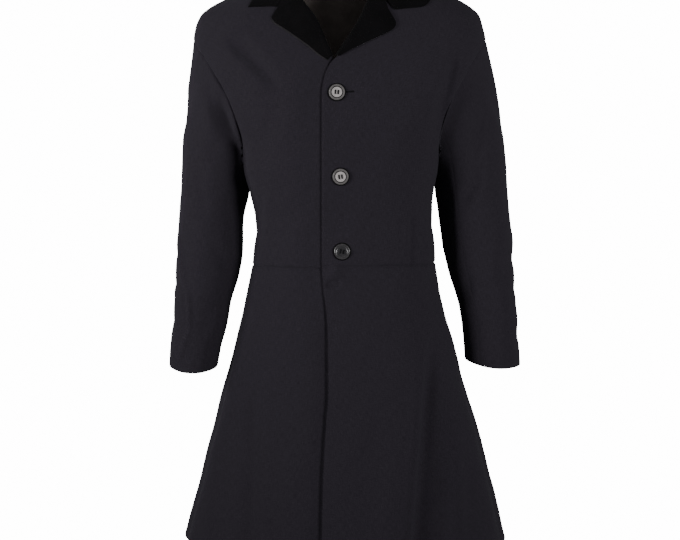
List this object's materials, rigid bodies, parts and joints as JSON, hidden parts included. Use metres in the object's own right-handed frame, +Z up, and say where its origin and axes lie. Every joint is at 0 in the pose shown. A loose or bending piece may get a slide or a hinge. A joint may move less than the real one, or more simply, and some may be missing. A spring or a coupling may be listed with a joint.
{
  "type": "frock coat",
  "caption": "Hollow, worn-form wool frock coat with velvet collar and lapels, two-piece sleeves, a waist seam, a flared skirt and a buttoned front that laps left over right.",
  "frame": {"origin": "middle of the neck's base, level with the points where the shoulder seams meet the collar, where the wearer's neck and shoulders hold the coat", "axes": "+Z up towards the collar, +X towards the wearer's left side, -Y out of the coat's front"},
  "size_m": [0.614, 0.4169, 1.0269],
  "materials": {
    "wool": "matt charcoal wool with a fine weave",
    "velvet": "black velvet",
    "lining": "dark satin lining",
    "grey_horn": "polished smoke grey",
    "dark_horn": "polished dark grey"
  },
  "bodies": {
    "root": {"front_left": "wool", "front_right": "wool", "back_left": "wool", "back_right": "wool", "skirt_left": "wool", "skirt_right": "wool", "top_sleeve_left": "wool", "top_sleeve_right": "wool", "under_sleeve_left": "wool", "under_sleeve_right": "wool", "lapel_left": "velvet", "lapel_right": "velvet", "collar": "velvet", "back_lining": "lining", "button_1": "grey_horn", "button_2": "grey_horn", "button_3": "dark_horn"}
  },
  "joints": []
}
